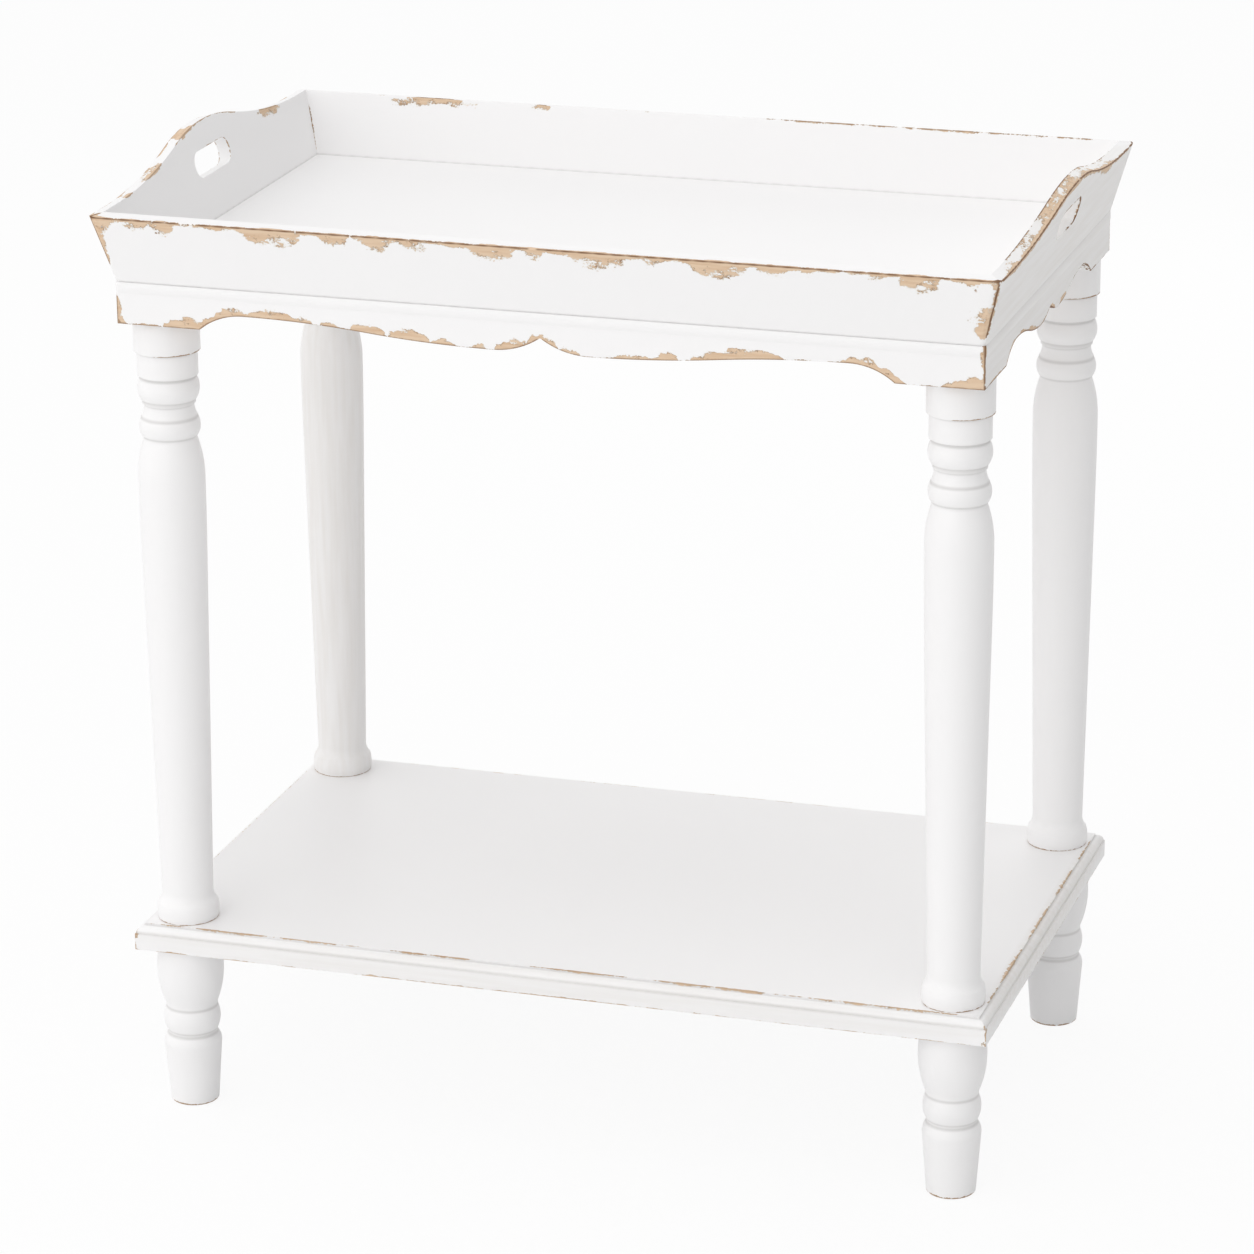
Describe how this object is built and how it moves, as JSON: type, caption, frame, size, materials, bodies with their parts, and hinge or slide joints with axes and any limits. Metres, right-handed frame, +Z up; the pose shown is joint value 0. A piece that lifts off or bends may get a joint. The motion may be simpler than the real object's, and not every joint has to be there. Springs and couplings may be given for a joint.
{
  "type": "tray table",
  "caption": "Side table with a flared lift-off tray, crested ends with finger holes, scalloped apron, turned legs and feet and a lower shelf, in worn white paint.",
  "frame": {"origin": "on the floor under the middle of the table", "axes": "+X along the table to its right end, +Y towards its back, +Z up"},
  "size_m": [0.6834, 0.4258, 0.7241],
  "materials": {
    "white_painted_wood": "satin white paint, rubbed through to the wood along the edges",
    "bare_pine": "sawn, unpainted",
    "zinc_plated_steel": "bright zinc plate"
  },
  "bodies": {
    "stand": {"apron_front": "white_painted_wood", "apron_back": "white_painted_wood", "apron_left": "white_painted_wood", "apron_right": "white_painted_wood", "corner_block_front_left": "bare_pine", "corner_block_back_left": "bare_pine", "corner_block_front_right": "bare_pine", "corner_block_back_right": "bare_pine", "leg_front_left": "white_painted_wood", "leg_back_left": "white_painted_wood", "leg_front_right": "white_painted_wood", "leg_back_right": "white_painted_wood", "foot_front_left": "white_painted_wood", "foot_back_left": "white_painted_wood", "foot_front_right": "white_painted_wood", "foot_back_right": "white_painted_wood", "shelf": "white_painted_wood", "corner_block_screws": "zinc_plated_steel", "leg_hanger_bolts": "zinc_plated_steel", "leg_washers": "zinc_plated_steel", "leg_nuts": "zinc_plated_steel", "foot_dowel_screws": "zinc_plated_steel"},
    "tray": {"tray_floor": "white_painted_wood", "tray_front_side": "white_painted_wood", "tray_back_side": "white_painted_wood", "tray_left_end": "white_painted_wood", "tray_right_end": "white_painted_wood", "tray_left_batten": "bare_pine", "tray_right_batten": "bare_pine", "tray_corner_brads": "zinc_plated_steel", "tray_floor_brads": "zinc_plated_steel"}
  },
  "joints": [
    {"name": "tray_lift", "type": "slide", "parent": "stand", "child": "tray", "axis": [0, 0, 1], "range_m": [0, 0.2]}
  ]
}
